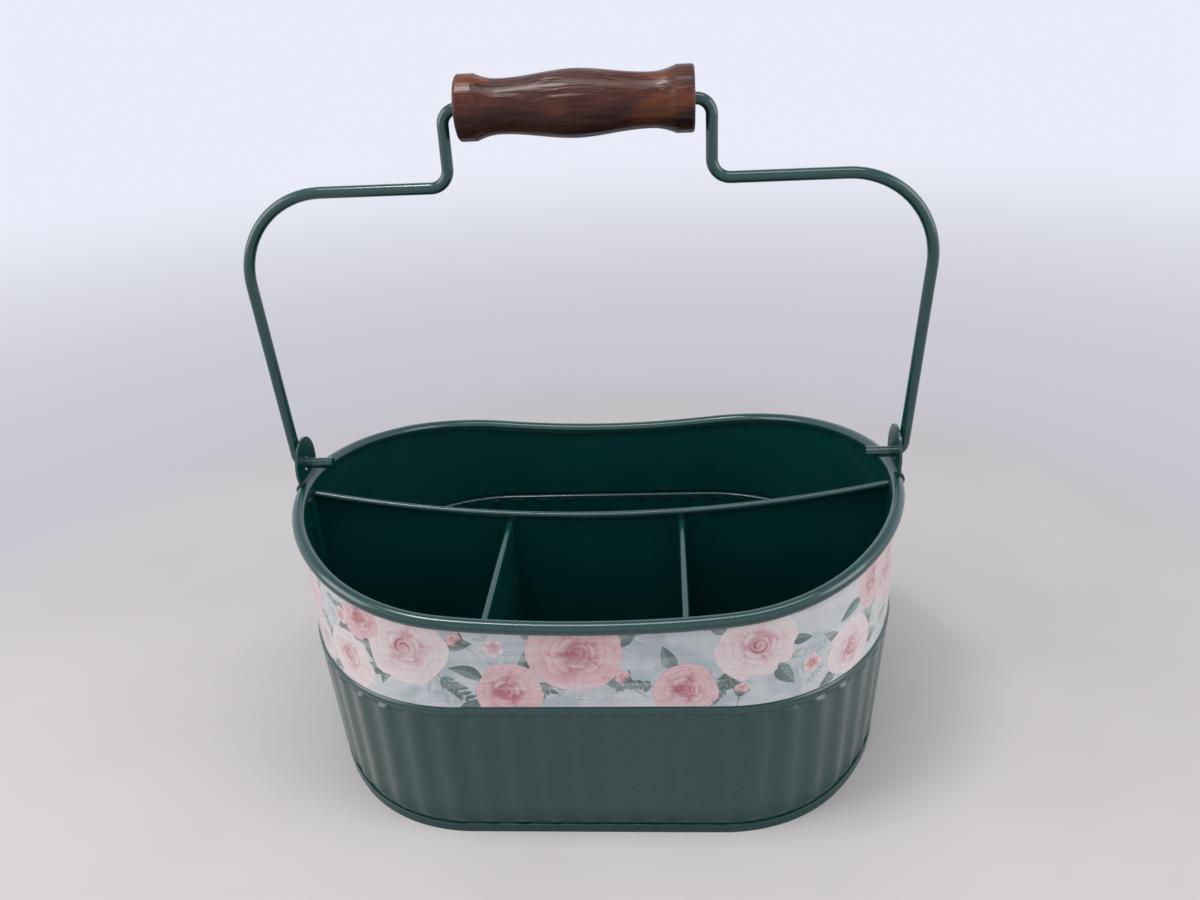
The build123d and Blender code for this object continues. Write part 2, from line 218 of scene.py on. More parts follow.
def dark_wood():
    """Stained and lacquered turned wood, its grain along the grip."""
    n = Surface("dark_wood")
    place = n.object_place()
    along = n.stretch(place, (0.20, 1.0, 1.0))
    swirl = n.noise(along, scale=105.0, detail=4.0, roughness=0.55, distortion=0.8)
    drawn = n.stretch(place, (0.035, 1.0, 1.0), (0, 0.03, 0.05))
    fibre = n.noise(drawn, scale=900.0, detail=3.0, roughness=0.6)
    patches = n.noise(n.stretch(place, (0.6, 1, 1)), scale=70.0)
    amber = n.range(patches, (0.54, 0.68), (0.0, 0.8))
    stain = n.mix(amber, n.ramp(swirl, WOOD_STAIN), WOOD_AMBER)
    # painted shade: the colour is darker on the lower side of the grip, for the shade that the
    # light doesn't give; it turns with the grip
    painted_shade_below = n.range(n.object_height(place), (0.250, 0.268), (0.34, 1.0))
    lines = n.range(fibre, (0.36, 0.66), (0.74, 1.10))
    ridges = n.bump(fibre, distance=0.00030, strength=0.7)
    waves = n.noise(n.stretch(place, (0.16, 1, 1), (0, 0.10, 0.16)), scale=330.0)
    gloss = n.noise(place, scale=95.0, detail=3.0)
    n.set(
        Base_Color=n.shade(stain, n.math("MULTIPLY", lines, painted_shade_below)),
        Roughness=n.range(gloss, (0.3, 0.7), (0.30, 0.46)),
        Normal=n.bump(waves, distance=0.0012, strength=0.8, over=ridges),
        IOR=1.36,
        Coat_Weight=0.16,
        Coat_Roughness=0.1,
    )
    return n.material


def floor_surface():
    """Pale matt floor that turns into the backdrop further out, where it is seen or mirrored."""
    n = Surface("floor_surface")
    place = n.object_place()
    far = n.add("VectorMath", {"operation": "LENGTH"}, Vector=place).outputs["Value"]
    cloud = n.range(n.noise(place, scale=9.0, detail=3.0), (0.3, 0.7), (0.97, 1.02))
    n.set(Base_Color=n.shade(FLOOR_TONE, cloud), Roughness=0.7, Specular_IOR_Level=0.2)
    wall = n.mix(n.range(far, (0.35, 1.6)), BACKDROP_NEAR, BACKDROP)
    glow = n.add("Emission", Color=wall, Strength=1.0).outputs[0]
    path = n.add("LightPath")
    seen = n.math("MAXIMUM", path.outputs["Is Camera Ray"], path.outputs["Is Glossy Ray"])
    share = n.math("MULTIPLY", n.range(far, (0.30, 0.46)), seen)
    both = n.blend(share, n.shader.outputs[0], glow)
    n.put(n.tree.nodes["Material Output"].inputs[0], both)
    return n.material


# Plan of the printed film, in millimetres. A place on it is given by the distance along the
# film from the middle of the back, going round by the left end, and by the height.
FILM_THICK = 0.2
FILM_OUT = 0.22  # how far its outer face stands off the wall, glue and all
HALF_STRAIGHT = 49.3
HALF_LENGTH = 123.9 + FILM_OUT
HALF_DEPTH = 86.6 + FILM_OUT
BLEND = math.radians(41.4)  # half the angle of the arc at each end
QUARTER = math.pi / 2
REACH = math.cos(BLEND) / (1 - math.sin(BLEND))
END_RADIUS = (HALF_LENGTH - HALF_STRAIGHT - HALF_DEPTH * REACH) / (
    1 - math.cos(BLEND) - math.sin(BLEND) * REACH
)
CORNER_RADIUS = (HALF_DEPTH - END_RADIUS * math.sin(BLEND)) / (1 - math.sin(BLEND))
FOOT = 61.95
# The upper edge is an arc seen from the front: the height of its centre, and its radius
SCOOP_CENTRE = 587.0
SCOOP_RADIUS = 492.95
MM_PER_METRE = 1000
TINY = 1e-9


def film_runs():
    """Runs round the film: length, centre, radius, and the outward angle at start and finish."""
    inset = HALF_DEPTH - CORNER_RADIUS
    bend = CORNER_RADIUS * (QUARTER - BLEND)
    runs = []
    for way in (1, -1):
        facing = 0 if way == 1 else math.pi
        back, front = facing + QUARTER, facing + 3 * QUARTER
        first, last = facing + math.pi - BLEND, facing + math.pi + BLEND
        edge, middle = -HALF_STRAIGHT * way, (END_RADIUS - HALF_LENGTH) * way
        runs += [
            (HALF_STRAIGHT, (0, HALF_DEPTH * way), 0, back, back),
            (bend, (edge, inset * way), CORNER_RADIUS, back, first),
            (END_RADIUS * 2 * BLEND, (middle, 0), END_RADIUS, first, last),
            (bend, (edge, -inset * way), CORNER_RADIUS, last, front),
            (HALF_STRAIGHT, (edge, -HALF_DEPTH * way), 0, front, front),
        ]
    return runs


RUNS = film_runs()
GIRTH = sum(run[0] for run in RUNS)


def film_place(along):
    """Plan point and outward direction at a distance along the film."""
    for length, centre, radius, start, finish in RUNS:
        if along <= length + TINY:
            break
        along -= length
    angle = start + (finish - start) * along / length
    out = Vector((math.cos(angle), math.sin(angle)))
    if radius:
        return Vector(centre) + out * radius, out
    return Vector(centre) + Vector((-out.y, out.x)) * along, out


def film_top(x):
    """Height of the film's upper edge at a place across the tub."""
    return SCOOP_CENTRE - math.sqrt(SCOOP_RADIUS**2 - x * x)


def head_at(along):
    """Height of the film's upper edge at a distance along it."""
    return film_top(film_place(along)[0].x)


def around(centre, far, angle):
    """The point at a distance and an angle from a centre."""
    return centre[0] + far * math.cos(angle), centre[1] + far * math.sin(angle)


def sides(ring):
    """Each corner of a closed outline with the next one."""
    return zip(ring, ring[1:] + ring[:1])


INK = {
    "paper": srgb("c9cfd5"),
    "wash": srgb("abb8c1"),
    "pale_tip": srgb("e6dadb"),
    "pale_mid": srgb("dfc2c6"),
    "pale_deep": srgb("cb96a1"),
    "rose_tip": srgb("e0bfc4"),
    "rose_mid": srgb("d0929c"),
    "rose_deep": srgb("b26373"),
    "heart": srgb("a84758"),
    "leaf_dark": srgb("426060"),
    "leaf_light": srgb("819d99"),
    "mist_dark": srgb("a3b4b6"),
    "mist_light": srgb("cdd7d8"),
    "line": srgb("334a4c"),
}
GROUND, PETAL, LEAF, LINE = 0.0, 1.0, 2.0, 3.0  # kinds of outline, which the material tells apart
ANY_ANGLE = 6.3  # upper end of a random direction, in radians
DOT_SWEEP = 6.2  # a crescent of nearly a full turn is a dot
LEAF_EDGE = 0.13  # width of the dark edge round a leaf, in millimetres


class Drawing:
    """Outlines in painting order, each with two tones and its own directions."""

    def __init__(self, seed):
        self.chance = Random(seed)
        self.outlines = []

    def paint(self, points, inner, outer, start, angle, length, width, kind, bend=0.0):
        """Add an outline, and once more a girth away where it crosses the film's start."""
        low = min(p[0] for p in points)
        high = max(p[0] for p in points)
        if sum(a[0] * b[1] - a[1] * b[0] for a, b in sides(points)) < 0:
            points = points[::-1]
        for shift in (-GIRTH, 0, GIRTH):
            if high + shift > 0 and low + shift < GIRTH:
                moved = [(p[0] + shift, p[1]) for p in points]
                origin = (start[0] + shift, start[1])
                ways = (angle, length, width, bend)
                self.outlines.append((moved, INK[inner], INK[outer], origin, ways, kind))

    def shape(self, start, angle, local):
        ca, sa = math.cos(angle), math.sin(angle)
        return [(start[0] + x * ca - y * sa, start[1] + x * sa + y * ca) for x, y in local]

    def lay(self, local, inner, outer, start, angle, length, width, kind, bend=0.0):
        """Paint an outline that is given in its own directions."""
        points = self.shape(start, angle, local)
        self.paint(points, inner, outer, start, angle, length, width, kind, bend)

    def strip(self, rows, start, angle, length, width, tone):
        """Paint a line of changing width: each row gives a point and half its width."""
        local = [(x, y - half) for x, y, half in rows]
        local += [(x, y + half) for x, y, half in rows[::-1]]
        self.lay(local, tone, tone, start, angle, length, width, LINE)

    def petal(self, start, angle, length, width, inner, outer, edge):
        """A broad petal with a wavy lip over a thin darker edge."""
        steps = max(8, min(17, round(5 + length)))
        wave = [self.chance.uniform(-1, 1) for _ in range(4)]
        local = []
        for i in range(steps):
            t = 2 * math.pi * i / steps
            x = 0.5 - 0.5 * math.cos(t)
            ripple = 0.08 * wave[0] * math.sin(2 * t) + 0.07 * wave[1] * math.cos(3 * t + wave[2])
            lip = 1 + x * ripple
            lip += 0.035 * x * wave[3] * math.sin(5 * t)
            swell = 0.52 + 0.72 * x - 0.16 * x * x
            local.append((length * x * lip, width * math.sin(t) * swell))
        gap = 0.05 + 0.006 * length
        under = [(x + gap * (0.4 + x / length), y * (1 + gap / width)) for x, y in local]
        self.lay(under, edge, edge, start, angle, length, width, LINE)
        self.lay(local, inner, outer, start, angle, length, width, PETAL)

    def crescent(self, centre, radius, angle, sweep, thick, tone, steps=12):
        """A thin arc that narrows to both ends and winds in a little."""
        outer, inner = [], []
        for i in range(steps + 1):
            t = i / steps
            a = angle + sweep * (t - 0.5)
            half = thick * math.sin(math.pi * t) + 0.02
            r = radius * (1 - 0.12 * t)
            outer.append(around(centre, r + half, a))
            inner.append(around(centre, r - half, a))
        self.paint(outer + inner[::-1], tone, tone, centre, angle, radius, radius, LINE)

    def leaf(self, start, angle, length, width, mist=False):
        """A pointed, slightly bent leaf: with a dark edge and a midrib, or pale in the mist."""
        bend = self.chance.uniform(-0.14, 0.14) * length
        full = self.chance.uniform(0.34, 0.46)
        steps = 7

        def outline(grow):
            one, two = [], []
            for t in (i / steps for i in range(1, steps)):
                if t < full:
                    swell = (t / full) ** 0.8
                else:
                    swell = math.cos((t - full) / (1 - full) * QUARTER) ** 0.9
                middle, half = bend * 4 * t * (1 - t), width * min(swell, 1.0) + grow
                one.append((length * t, middle + half))
                two.append((length * t, middle - half))
            return [(-grow, 0)] + two + [(length + 1.5 * grow, 0)] + one[::-1]

        placed = (start, angle, length, width)
        if mist:
            self.lay(outline(0.0), "mist_dark", "mist_light", *placed, LEAF, bend)
            return
        self.lay(outline(LEAF_EDGE), "line", "line", *placed, LINE, bend)
        self.lay(outline(0.0), "leaf_dark", "leaf_light", *placed, LEAF, bend)
        shares = [i / 4 * 0.94 for i in range(5)]
        rib = [(length * t, bend * 4 * t * (1 - t), 0.11 * (1.1 - t)) for t in shares]
        self.strip(rib, *placed, "line")

    def stem(self, start, angle, length, bend, thick=0.16):
        """A bent stalk. Gives the nine points along it."""
        shares = [i / 8 for i in range(9)]
        rows = [(length * t, bend * 4 * t * (1 - t), thick * (1.15 - 0.6 * t)) for t in shares]
        self.strip(rows, start, angle, length, 1, "leaf_dark")
        return self.shape(start, angle, [row[:2] for row in rows])

    def bloom(self, centre, radius, pale):
        """A full garden bloom, seen from above: rings of petals round a wound heart."""
        r = self.chance
        tip, mid, deep = (("pale" if pale else "rose") + end for end in ("_tip", "_mid", "_deep"))
        lean_x, lean_z = r.uniform(-0.12, 0.12) * radius, r.uniform(-0.02, 0.14) * radius
        # each ring: its size, its number of petals, and their tone at base and lip
        rings = (
            (1.0, 6, mid, tip),
            (0.84, 5, mid, tip),
            (0.62, 5, deep, tip),
            (0.42, 3, deep, tip),
        )
        base_start = (centre[0] - 0.6 * radius, centre[1])
        self.petal(base_start, 0, 1.2 * radius, 0.6 * radius, mid, deep, mid)
        for step, (size, count, inner, outer) in enumerate(rings):
            share = step / len(rings)
            heart = (centre[0] + lean_x * share, centre[1] + lean_z * share)
            phase = r.uniform(0, ANY_ANGLE)
            for k in range(count):
                angle = phase + 2 * math.pi * (k + r.uniform(-0.16, 0.16)) / count
                reach = radius * size * r.uniform(0.88, 1.10)
                length = reach * r.uniform(0.64, 0.78)
                width = reach * r.uniform(0.52, 0.70)
                start = around(heart, reach - length, angle)
                self.petal(start, angle, length, width, inner, outer, deep if step > 1 else mid)
        heart = (centre[0] + lean_x, centre[1] + lean_z)
        heart_start = (heart[0] - 0.27 * radius, heart[1])
        self.petal(heart_start, 0, 0.56 * radius, 0.27 * radius, deep, mid, "heart")
        turn_at = r.uniform(0, ANY_ANGLE)
        for k, size in enumerate((0.23, 0.17, 0.115, 0.06)):
            tone = "heart" if k % 2 == 0 else deep
            self.crescent(heart, size * radius, turn_at + 2.2 * k, 3.6, 0.022 * radius, tone)

    def wild(self, centre, radius):
        """A small open bloom of five petals with a ring of nine stamens."""
        phase = self.chance.uniform(0, ANY_ANGLE)
        length, width = 0.95 * radius, 0.52 * radius
        for k in range(5):
            angle = phase + 2 * math.pi * k / 5
            start = around(centre, 0.06 * radius, angle)
            self.petal(start, angle, length, width, "rose_mid", "pale_tip", "rose_deep")
        for k in range(9):
            angle = phase + 0.7 * k
            spot = around(centre, radius * (0.2 + 0.12 * (k % 2)), angle)
            self.crescent(spot, 0.03 * radius, angle, DOT_SWEEP, 0.03 * radius, "heart", 8)

    def bud(self, centre, radius, angle):
        """A closed bud on its stem, wrapped in three petals."""
        back = around(centre, -1.3 * radius, angle)
        self.stem(back, angle + math.pi, radius * 3.2, self.chance.uniform(-1, 1))
        for way in (-1, 1):
            self.leaf(back, angle + 0.75 * way, radius * 2.1, radius * 0.34)
        self.petal(back, angle, radius * 2.5, radius * 0.95, "rose_mid", "rose_tip", "rose_deep")
        wrap = (radius * 2.1, radius * 0.58, "rose_deep", "rose_tip", "rose_deep")
        for way in (-1, 1):
            off = 0.1 * radius * way
            start = (back[0] + off * -math.sin(angle), back[1] + off * math.cos(angle))
            self.petal(start, angle + 0.34 * way, *wrap)
        spot = around(back, 1.5 * radius, angle)
        self.crescent(spot, radius * 0.34, angle, 4.2, radius * 0.06, "heart")
        for way in (-0.55, 0.0, 0.55):
            self.leaf(back, angle + way, radius * 1.05, radius * 0.2)

    def sprig(self, start, angle, length, mist=False):
        """A curved stem with pairs of small leaves; in the mist larger leaves and no stem."""
        bend = self.chance.uniform(-0.12, 0.12) * length
        if mist:
            local = [(length * i / 8, bend * 4 * i / 8 * (1 - i / 8)) for i in range(9)]
            line = self.shape(start, angle, local)
        else:
            line = self.stem(start, angle, length, bend, 0.13)
        for i in range(2, 9, 3 if mist else 1):
            for way in (-1, 1):
                size = (1.5 if mist else 1) * length * self.chance.uniform(0.20, 0.27)
                size *= 1.15 - 0.06 * i
                turned = angle + way * self.chance.uniform(0.6, 0.95)
                self.leaf(line[i], turned, size, size * 0.23, mist)
        self.leaf(line[8], angle, length * 0.22, length * 0.05, mist)


BLOOMS, BUDS, WILD_BLOOMS = 21, 34, 16
ROOMY = 37  # height of film, in millimetres, from which a bloom gets a small one over or under it


def place_blooms(r):
    """Centre, height, radius and paleness of each bloom, by turns high and low on the film."""
    blooms = []
    for k in range(BLOOMS):
        along = GIRTH * (k + 0.5 + r.uniform(-0.16, 0.16)) / BLOOMS
        high = k % 2 == 0
        size = r.uniform(14.5, 17.5) if high else r.uniform(11.0, 13.5)
        room = head_at(along) - FOOT
        height = FOOT + room * (r.uniform(0.66, 0.82) if high else r.uniform(0.16, 0.30))
        blooms.append((along, height, size, (k % 4 in (0, 3)) if high else (k % 6 == 1)))
        if room > ROOMY:
            beside = along + r.uniform(10, 16)
            height = FOOT + room * (0.22 if high else 0.82)
            blooms.append((beside, height, r.uniform(9, 11), high))
    return blooms


def draw_band():
    """The whole printed design: mist leaves, sprigs, leaves, buds, blooms and wild blooms."""
    art = Drawing(41)
    r = art.chance
    blooms = place_blooms(r)

    def free(spot, gap):
        return min(math.dist(spot, bloom[:2]) - bloom[2] for bloom in blooms) > gap

    for along, height, size, _ in blooms:
        for _ in range(3):
            angle = r.uniform(0, ANY_ANGLE)
            art.sprig(around((along, height), size * 0.5, angle), angle, size * 1.35, True)
    for along, height, size, _ in blooms:
        phase = r.uniform(0, ANY_ANGLE)
        for k in range(5):
            angle = phase + k * 1.26 + r.uniform(-0.3, 0.3)
            start = around((along, height), size * 0.72, angle)
            if k == 0:
                art.sprig(start, angle, size * 1.2)
            else:
                length = r.uniform(10, 15)
                art.leaf(start, angle, length, length * r.uniform(0.18, 0.26))
    for k in range(BUDS):
        along = GIRTH * (k + r.uniform(0.2, 0.8)) / BUDS
        height = FOOT + (head_at(along) - FOOT) * r.uniform(0.1, 0.9)
        if free((along, height), 2.2):
            art.bud((along, height), r.uniform(1.9, 2.8), r.uniform(0.6, 2.5))
        for _ in range(3):
            spot = (along + r.uniform(-9, 9), height + r.uniform(-7, 7))
            art.crescent(spot, 0.08, 0, DOT_SWEEP, 0.07, "line", 6)
    for along, height, size, pale in sorted(blooms, key=lambda bloom: not bloom[3]):
        art.bloom((along, height), size, pale)
    for k in range(WILD_BLOOMS):
        along = GIRTH * (k + r.uniform(0.1, 0.9)) / WILD_BLOOMS
        height = FOOT + (head_at(along) - FOOT) * r.uniform(0.15, 0.85)
        if free((along, height), 0.5):
            art.wild((along, height), r.uniform(3.6, 4.6))
    return art.outlines


def printed_film():
    """Glossy printed film: watercolour tones under a clear face with faint wrinkles."""
    n = Surface("printed_film")

    def read(name, output="Vector"):
        return n.add("Attribute", {"attribute_name": name}).outputs[output]

    p, q, kind = n.add("SeparateXYZ", Vector=read("place")).outputs
    along, height, own = n.add("SeparateXYZ", Vector=read("flat")).outputs
    on_film = n.add("CombineXYZ", X=along, Y=height, Z=0.0).outputs[0]

    # share of the outer tone in a petal, in a leaf and on the bare paper
    across = n.math("MULTIPLY", q, 4.2)
    stroke = n.add("CombineXYZ", X=n.math("MULTIPLY", p, 0.8), Y=across, Z=own).outputs[0]
    streak = n.range(
        n.noise(stroke, scale=1.6, roughness=0.6), (0.25, 0.75), (-0.30, 0.30), "LINEAR"
    )
    petal = n.math("ADD", n.range(p, (0.15, 0.92)), streak)
    blotch = n.range(
        n.noise(on_film, scale=0.30, detail=3.0, roughness=0.6), (0.3, 0.7), (-0.25, 0.3), "LINEAR"
    )
    leaf = n.math("ADD", n.range(q, (-0.12, 0.12), (0.12, 0.72)), blotch)
    cloud = n.range(n.noise(on_film, scale=0.052), (0.50, 0.62), (0.0, 0.85))
    is_petal, is_leaf, is_ground = (
        n.math("COMPARE", kind, which, 0.5) for which in (PETAL, LEAF, GROUND)
    )
    share = n.math("MULTIPLY", petal, is_petal)
    share = n.math("MULTIPLY_ADD", leaf, is_leaf, share)
    share = n.math("MULTIPLY_ADD", cloud, is_ground, share)
    share = n.math("MINIMUM", n.math("MAXIMUM", share, 0.0), 1.0)
    colour = n.mix(share, read("tone_in", "Color"), read("tone_out", "Color"))

    # side veins of the leaves, slanting forward from the midrib
    slant = n.math("MULTIPLY", n.math("ABSOLUTE", q), 0.22)
    rib = n.math("FRACT", n.math("MULTIPLY", n.math("SUBTRACT", p, slant), 6.0))
    vein = n.math("MULTIPLY", n.math("LESS_THAN", rib, 0.14), is_leaf)
    colour = n.mix(n.math("MULTIPLY", vein, 0.42), colour, INK["line"])
    wet = n.noise(on_film, scale=0.85, detail=4.0, roughness=0.65)
    colour = n.shade(colour, n.range(wet, (0.3, 0.7), (0.93, 1.03), "LINEAR"))

    # painted sheen: pale streaks along the film, painted into its colour for the sheen of its
    # clear face
    painted_sheen = n.noise(n.stretch(on_film, (0.011, 0.15, 1)), scale=1.0, detail=3.0, roughness=0.55)
    colour = n.mix(n.range(painted_sheen, (0.48, 0.72), (0.0, 0.42)), colour, FILM_PAINTED_SHEEN)
    wrinkle = n.noise(n.stretch(on_film, (0.028, 0.42, 1)), scale=1.0, detail=3.0, roughness=0.55)
    buckle = n.noise(n.stretch(on_film, (0.075, 0.11, 1)), scale=1.0)
    fine = n.bump(wrinkle, distance=0.00045, strength=0.9)
    n.set(
        Base_Color=colour,
        Roughness=0.28,
        Normal=n.bump(buckle, distance=0.0016, strength=0.7, over=fine),
        IOR=1.55,
        Coat_Weight=1.0,
        Coat_Roughness=0.04,
    )
    return n.material


BARE = -1  # in place of an outline's number, where the paper shows
WINDOW = 11  # width of film that is worked through at once, in millimetres
MERGE = 1e-5  # corners closer than this become one


def window_drawing(outlines, chosen, low, high):
    """What shows of the chosen outlines in a window: the lines between them, and a lookup."""
    points, faces = [], []
    for i in chosen:
        faces.append(list(range(len(points), len(points) + len(outlines[i][0]))))
        points += [Vector(p) for p in outlines[i][0]]
    spots, _, triangles, _, _, ids = delaunay_2d_cdt(points, [], faces, 0, MERGE)
    shown = [chosen[max(seen)] if seen else BARE for seen in ids]
    beside = {}
    for number, face in enumerate(triangles):
        for a, b in sides(face):
            beside.setdefault((min(a, b), max(a, b)), []).append(shown[number])
    kept = []
    for (a, b), seen in beside.items():
        near = max(spots[a].x, spots[b].x) > low and min(spots[a].x, spots[b].x) < high
        # beyond a line with one side only there is bare paper
        if near and seen[0] != (seen + [BARE])[1]:
            kept.append((a, b))
    used = sorted({i for pair in kept for i in pair})
    place = {old: new for new, old in enumerate(used)}
    tree = BVHTree.FromPolygons([(p.x, p.y, 0) for p in spots], triangles)

    def look(spot):
        hit = tree.ray_cast((spot.x, spot.y, 1), (0, 0, -1))[2]
        return BARE if hit is None else shown[hit]

    return [spots[i] for i in used], [(place[a], place[b]) for a, b in kept], look


def flat_mesh(outlines, columns, tops):
    """Triangles of the drawing in one layer: corners, column and the outline that shows.

    The film is worked through in short windows between columns, because that is quick."""
    reaches = [[p[0] for p in outline[0]] for outline in outlines]
    spans = [(min(reach), max(reach)) for reach in reaches]
    slack = 0.01
    all_corners, found, first = [], [], 0
    while first < len(columns) - 1:
        last = first + 1
        while last < len(columns) - 1 and columns[last] - columns[first] < WINDOW:
            last += 1
        low, high = columns[first], columns[last]
        chosen = [
            i
            for i, (start, stop) in enumerate(spans)
            if stop > low - slack and start < high + slack
        ]
        points, edges, look = window_drawing(outlines, chosen, low, high)
        start = len(points)
        for step, k in enumerate(range(first, last + 1)):
            points += [Vector((columns[k], FOOT)), Vector((columns[k], tops[k]))]
            lower = start + 2 * step
            edges.append((lower, lower + 1))
            if step:
                edges += [(lower - 2, lower), (lower - 1, lower + 1)]
        corners, _, faces, _, _, _ = delaunay_2d_cdt(points, edges, [], 0, MERGE)
        base = len(all_corners)
        all_corners += corners
        for face in faces:
            middle = (corners[face[0]] + corners[face[1]] + corners[face[2]]) / 3
            if not low < middle.x < high or middle.y < FOOT:
                continue
            k = bisect_right(columns, middle.x) - 1
            share = (middle.x - columns[k]) / (columns[k + 1] - columns[k])
            if middle.y <= tops[k] + (tops[k + 1] - tops[k]) * share:
                found.append(([base + i for i in face], k, look(middle)))
        first = last
    return all_corners, found


class Wrap:
    """The film's points as they are made: outer ones, each with its place, and inner ones."""

    ON_COLUMN = 1e-4  # how close to a column a corner counts as lying on it
    SAME_HEIGHT = 1e-3
    HALF_WAY = 50  # places further apart than this lie on both sides of the film's start

    def __init__(self, columns, plan, corners):
        self.columns, self.plan, self.corners = columns, plan, corners
        self.points, self.spots = [], []
        self.index, self.inner, self.on_column = {}, {}, {}

    def solid(self, along, height, k, inset=0.0):
        share = (along - self.columns[k]) / (self.columns[k + 1] - self.columns[k])
        near = self.plan[k][0] - self.plan[k][1] * inset
        far = self.plan[k + 1][0] - self.plan[k + 1][1] * inset
        point = near + (far - near) * share
        return point.x / MM_PER_METRE, point.y / MM_PER_METRE, height / MM_PER_METRE

    def outer(self, i, k):
        """The point of a corner, shared across windows where it lies on a column."""
        if i in self.index:
            return self.index[i]
        along, height = self.corners[i]
        for c in (k, k + 1):
            if abs(along - self.columns[c]) < self.ON_COLUMN:
                same = self.on_column.setdefault(c % (len(self.columns) - 1), [])
                for other, known in same:
                    if abs(other - height) < self.SAME_HEIGHT:
                        self.index[i] = known
                        return known
                same.append((height, len(self.points)))
        self.index[i] = len(self.points)
        self.points.append(self.solid(along, height, k))
        self.spots.append((along, height, k))
        return self.index[i]

    def behind(self, i):
        """The point behind an outer one, on the film's inner face."""
        if i not in self.inner:
            self.inner[i] = len(self.points)
            self.points.append(self.solid(*self.spots[i], FILM_THICK))
        return self.inner[i]

    def closing(self, faces, uses):
        """Faces that close the film behind the drawn ones: its edges, then its inner face."""
        beside = {}
        for number, ids in enumerate(faces):
            for a, b in sides(ids):
                beside.setdefault((min(a, b), max(a, b)), []).append((a, b, number))
        rows = [([], []) for _ in self.columns]
        added = []
        for ends in beside.values():
            if len(ends) != 1:
                continue
            a, b, number = ends[0]
            k = uses[number][0]
            added.append([b, a, self.behind(a), self.behind(b)])
            upper = self.spots[a][1] > FOOT + 1
            for i in (a, b):
                at = self.spots[i][0]
                if abs(at - self.columns[k]) >= self.HALF_WAY:
                    at = GIRTH - at
                if (at, self.inner[i]) not in rows[k][upper]:
                    rows[k][upper].append((at, self.inner[i]))
        for low, high in rows:
            if low and high:
                ring = sorted(high) + sorted(low, reverse=True)
                added.append([i for _, i in ring])
        return added


# The map that the printed faces lie on: a square of this side, in millimetres, that takes the
# drawn face in four rows and, above them and reduced, the edges and the inner face
CHART = 214.0
CHART_ROWS = 4
ROW_PITCH = 49.0
ROW_FOOT = 0.5
MARGIN = 1
CLOSING_FOOT = 198
CLOSING_LIFT = 0.8  # between a point and the one behind it
CLOSING_SCALE = (0.3, 0.28)
PLAIN_PATTERN = 5.0
PATTERNS = 97  # outlines take turns at this many patterns of streaks


def closing_corners(polygon, wrap, outer_of):
    """Tones, place, flat place, normal and map place of each corner of a closing face."""
    rows, first_at = [], None
    for i in polygon.vertices:
        at, height, _ = wrap.spots[outer_of.get(i, i)]
        first_at = at if first_at is None else first_at
        if abs(at - first_at) >= wrap.HALF_WAY:
            at += math.copysign(GIRTH, first_at - at)
        lift = CLOSING_FOOT + (CLOSING_LIFT if i in outer_of else 0)
        chart = (
            (at * CLOSING_SCALE[0] + MARGIN) / CHART,
            (lift + (height - FOOT) * CLOSING_SCALE[1]) / CHART,
        )
        paper, flat = INK["paper"], (at, height, PLAIN_PATTERN)
        rows.append((paper, paper, (0.0, 0.0, GROUND), flat, tuple(polygon.normal), chart))
    return rows


def drawn_corners(use, wrap, outlines):
    """The same six values at each corner of a drawn triangle."""
    k, shown, flat = use
    tones, kind = (INK["paper"], INK["wash"]), GROUND
    if shown != BARE:
        _, *tones, origin, (angle, length, width, bend), kind = outlines[shown]
        ca, sa = math.cos(angle), math.sin(angle)
    begin, end = wrap.columns[k : k + 2]
    strip = GIRTH / CHART_ROWS
    row = int((begin + 1e-6) / strip)
    rows = []
    for at, height in flat:
        p = q = 0.0
        if shown != BARE:
            x, z = at - origin[0], height - origin[1]
            p = (x * ca + z * sa) / length
            q = (-x * sa + z * ca - bend * 4 * p * (1 - p)) / width
        share = min(max((at - begin) / (end - begin), 0.0), 1.0)
        out = wrap.plan[k][1].lerp(wrap.plan[k + 1][1], share).normalized()
        chart = (
            (at - row * strip + MARGIN) / CHART,
            (height - FOOT + ROW_FOOT + row * ROW_PITCH) / CHART,
        )
        own = float(shown % PATTERNS)
        rows.append((*tones, (p, q, kind), (at, height, own), (out.x, out.y, 0.0), chart))
    return rows


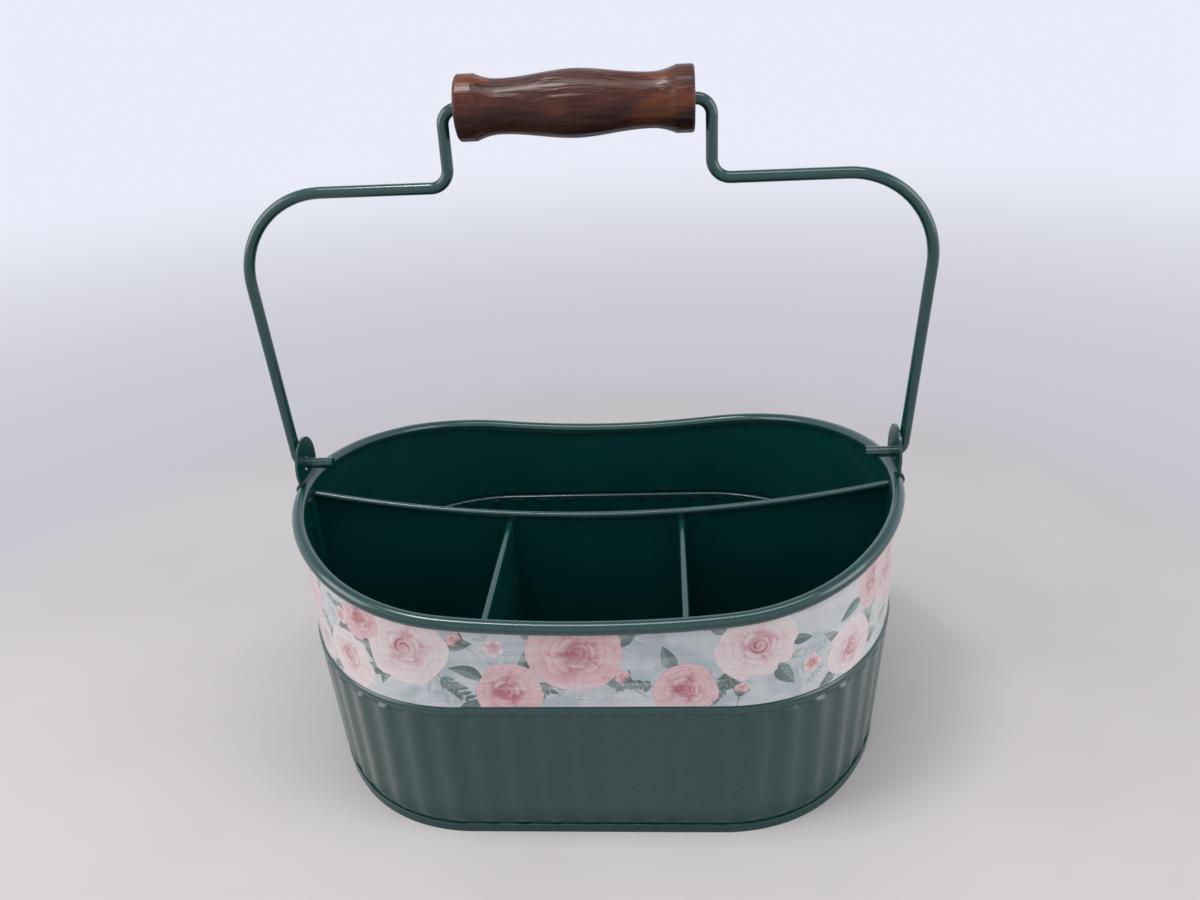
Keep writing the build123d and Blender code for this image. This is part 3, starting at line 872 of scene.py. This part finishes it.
def make_print(material):
    """The printed film, a closed thin wrap whose outer face carries the drawing."""
    columns = [0.0]
    for length, _, radius, _, _ in RUNS:
        parts = round(length / (2.0 if radius else 4.1))
        begin = columns[-1]
        columns += [begin + length * (k + 1) / parts for k in range(parts)]
    columns[-1] = GIRTH
    plan = [film_place(min(at, GIRTH - TINY)) for at in columns]
    plan[-1] = plan[0]
    outlines = draw_band()
    corners, found = flat_mesh(outlines, columns, [film_top(point.x) for point, _ in plan])

    wrap = Wrap(columns, plan, corners)
    faces, uses = [], []
    for face, k, number in found:
        ids = [wrap.outer(i, k) for i in face]
        if len(set(ids)) == 3:
            faces.append(ids)
            uses.append((k, number, [tuple(corners[i]) for i in face]))
    faces += wrap.closing(faces, uses)
    mesh = bpy.data.meshes.new("floral_print")
    mesh.from_pydata(wrap.points, [], faces)
    piece = bpy.data.objects.new("floral_print", mesh)
    bpy.context.scene.collection.objects.link(piece)
    mesh.materials.append(material)

    outer_of = {back: front for front, back in wrap.inner.items()}
    rows = []
    for number, polygon in enumerate(mesh.polygons):
        if number < len(uses):
            rows += drawn_corners(uses[number], wrap, outlines)
        else:
            rows += closing_corners(polygon, wrap, outer_of)
    tones_in, tones_out, places, flats, normals, chart = zip(*rows)
    for name, kind, key, values in (
        ("tone_in", "FLOAT_COLOR", "color", tones_in),
        ("tone_out", "FLOAT_COLOR", "color", tones_out),
        ("place", "FLOAT_VECTOR", "vector", places),
        ("flat", "FLOAT_VECTOR", "vector", flats),
    ):
        layer = mesh.attributes.new(name, kind, "CORNER")
        layer.data.foreach_set(key, [number for value in values for number in value])
    layer = mesh.uv_layers.new(name="OFBake")
    layer.data.foreach_set("uv", [number for value in chart for number in value])
    mesh.shade_smooth()
    mesh.normals_split_custom_set(normals)
    return piece


# Floor and lamps
bpy.ops.mesh.primitive_circle_add(vertices=96, radius=6, fill_type="NGON")
floor = bpy.context.object
floor.name = "floor"
floor.data.materials.append(floor_surface())

LAMP_AIM = Vector((0, 0, 0.1))
for name, place, size, watts, colour in (
    ("lamp_top", (0.0, -0.14, 0.85), (0.7, 0.20), 2.2, (1, 0.98, 0.95)),
    ("lamp_glint", (-0.17, -0.14, 0.84), (0.20, 0.10), 1.35, (1, 0.99, 0.97)),
    ("lamp_left", (-0.75, -0.25, 0.5), (0.5, 0.6), 2.8, (1, 0.975, 0.93)),
    ("lamp_right", (0.8, -0.25, 0.5), (0.5, 0.6), 2.6, (1, 0.975, 0.93)),
):
    data = bpy.data.lights.new(name, "AREA")
    data.shape = "RECTANGLE"
    data.size, data.size_y = size
    data.energy = watts
    data.color = colour
    lamp = bpy.data.objects.new(name, data)
    lamp.location = place
    lamp.rotation_euler = (LAMP_AIM - Vector(place)).to_track_quat("-Z", "Y").to_euler()
    bpy.context.scene.collection.objects.link(lamp)

# Surroundings: soft light for the surfaces, and a pale wall, dimmer overhead, where they are
# seen straight, through something or mirrored
world = bpy.data.worlds.new("world")
bpy.context.scene.world = world
world.use_nodes = True
world.node_tree.nodes.clear()
w = Nodes(world.node_tree)
path = w.add("LightPath").outputs
seen = w.math("MAXIMUM", path["Is Camera Ray"], path["Is Transmission Ray"])
seen = w.math("MAXIMUM", seen, path["Is Glossy Ray"])
direction = w.add("TexCoord").outputs["Generated"]
upward = w.add("SeparateXYZ", Vector=direction).outputs["Z"]
overhead = w.range(upward, (0.5, 0.9), (1.0, 0.4), "LINEAR")
around_low = w.add("Background", Color=LIGHT_AROUND, Strength=0.52).outputs[0]
from_above = w.add("Background", Color=LIGHT_ABOVE, Strength=0.58).outputs[0]
light = w.blend(w.range(upward, (0.1, 0.8), kind="LINEAR"), around_low, from_above)
pale = w.add("Background", Color=BACKDROP, Strength=overhead).outputs[0]
w.add("OutputWorld", Surface=w.blend(seen, light, pale))

# The surfaces of the solids, and the print in place of the plain film
paint = green_enamel()
wood = dark_wood()
for name in nodes:
    for slot in nodes[name].material_slots:
        slot.material = wood if name == "grip" else paint

print_piece = make_print(printed_film())
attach(print_piece, "tub")
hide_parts("printed_band")
